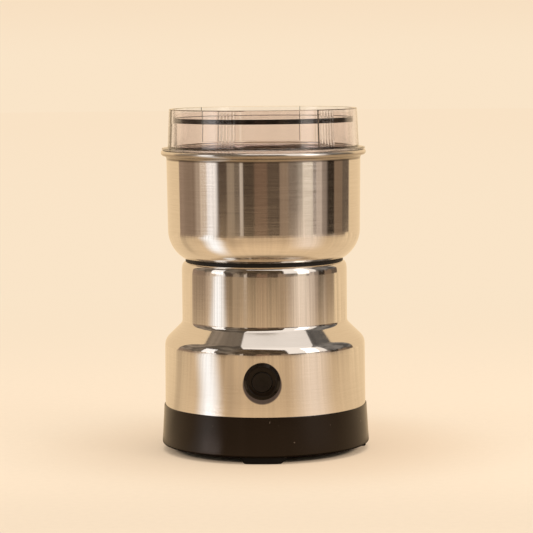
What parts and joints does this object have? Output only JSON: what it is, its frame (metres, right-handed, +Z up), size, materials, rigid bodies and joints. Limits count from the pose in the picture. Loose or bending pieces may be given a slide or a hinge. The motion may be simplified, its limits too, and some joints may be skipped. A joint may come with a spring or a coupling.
{
  "type": "electric spice grinder",
  "caption": "Free-standing electric spice grinder: brushed steel bowl and housing, clear plug-in lid with black seal, black base and one round push button.",
  "frame": {"origin": "on the table under the middle of the base, at the underside of the feet", "axes": "+Z up through the motor shaft and the lid; the push button faces -Y and the cord gland +Y; +X is to the right of someone facing the button"},
  "size_m": [0.1066, 0.1092, 0.175],
  "materials": {
    "clear_plastic": "clear moulded plastic, glossy",
    "black_rubber": "black rubber",
    "bowl_steel": "stainless steel, brushed round the bowl",
    "housing_steel": "stainless steel, finely brushed round the body",
    "blade_steel": "ground stainless steel",
    "screw_steel": "turned and plated steel",
    "plated_steel": "zinc-plated steel",
    "shaft_steel": "ground steel shaft",
    "spring_steel": "spring wire",
    "bronze": "sintered bronze",
    "laminations": "stacked steel laminations",
    "copper_wire": "enamelled copper wire",
    "copper_bars": "copper commutator bars",
    "contact_brass": "brass contacts",
    "carbon": "carbon brushes",
    "inner_plastic": "black glass-filled plastic",
    "white_plastic": "off-white plastic",
    "base_black": "satin black moulded plastic",
    "button_black": "semi-gloss black plastic",
    "foot_rubber": "black rubber feet",
    "lead_brown": "brown wire insulation",
    "lead_blue": "blue wire insulation",
    "lead_black": "black wire insulation"
  },
  "bodies": {
    "housing": {"grinding_bowl": "bowl_steel", "bowl_seal": "black_rubber", "bowl_screws": "screw_steel", "shaft_bush": "bronze", "shaft_seal": "black_rubber", "housing_sleeve": "housing_steel", "damping_ring": "black_rubber", "base_tabs": "plated_steel", "motor_plate": "inner_plastic", "upper_bearing": "bronze", "stator_core": "laminations", "field_coil_front": "copper_wire", "field_coil_rear": "copper_wire", "lower_bracket": "inner_plastic", "lower_bearing": "bronze", "motor_bolts": "screw_steel", "brush_holder_right": "inner_plastic", "brush_holder_left": "inner_plastic", "brush_right": "carbon", "brush_left": "carbon", "brush_spring_right": "spring_steel", "brush_spring_left": "spring_steel", "switch_bezel": "button_black", "button_spring": "spring_steel", "switch_nut": "plated_steel", "switch_body": "inner_plastic", "switch_back": "inner_plastic", "switch_terminals": "contact_brass", "base_cover": "base_black", "base_screws": "screw_steel", "foot_front": "foot_rubber", "foot_right": "foot_rubber", "foot_rear": "foot_rubber", "foot_left": "foot_rubber", "cord_gland": "black_rubber", "terminal_block": "white_plastic", "lead_live": "lead_brown", "lead_switch": "lead_blue", "lead_front_coil": "lead_black", "lead_rear_coil": "lead_black", "lead_neutral": "lead_blue"},
    "lid": {"lid_shell": "clear_plastic", "lid_plate": "clear_plastic", "lid_seal": "black_rubber"},
    "rotor": {"rotor_shaft": "shaft_steel", "rotor_core": "laminations", "rotor_windings": "copper_wire", "commutator": "copper_bars", "cooling_fan": "inner_plastic", "blade_collar": "screw_steel", "lower_blade": "blade_steel", "upper_blade": "blade_steel", "blade_washer": "screw_steel", "blade_nut": "screw_steel"},
    "button": {"button_cap": "button_black", "button_plunger": "white_plastic", "contact_bridge": "contact_brass"}
  },
  "joints": [
    {"name": "lid_lift", "type": "slide", "parent": "housing", "child": "lid", "axis": [0, 0, 1], "range_m": [0, 0.06]},
    {"name": "button_press", "type": "slide", "parent": "housing", "child": "button", "axis": [0, 1, 0], "range_m": [0, 0.0022], "stiffness_N_per_m": 700, "springref_m": -0.003, "deforming": ["button_spring"]},
    {"name": "rotor_spin", "type": "hinge", "parent": "housing", "child": "rotor", "pos_m": [0, 0, 0.06], "axis": [0, 0, 1], "continuous": true}
  ]
}
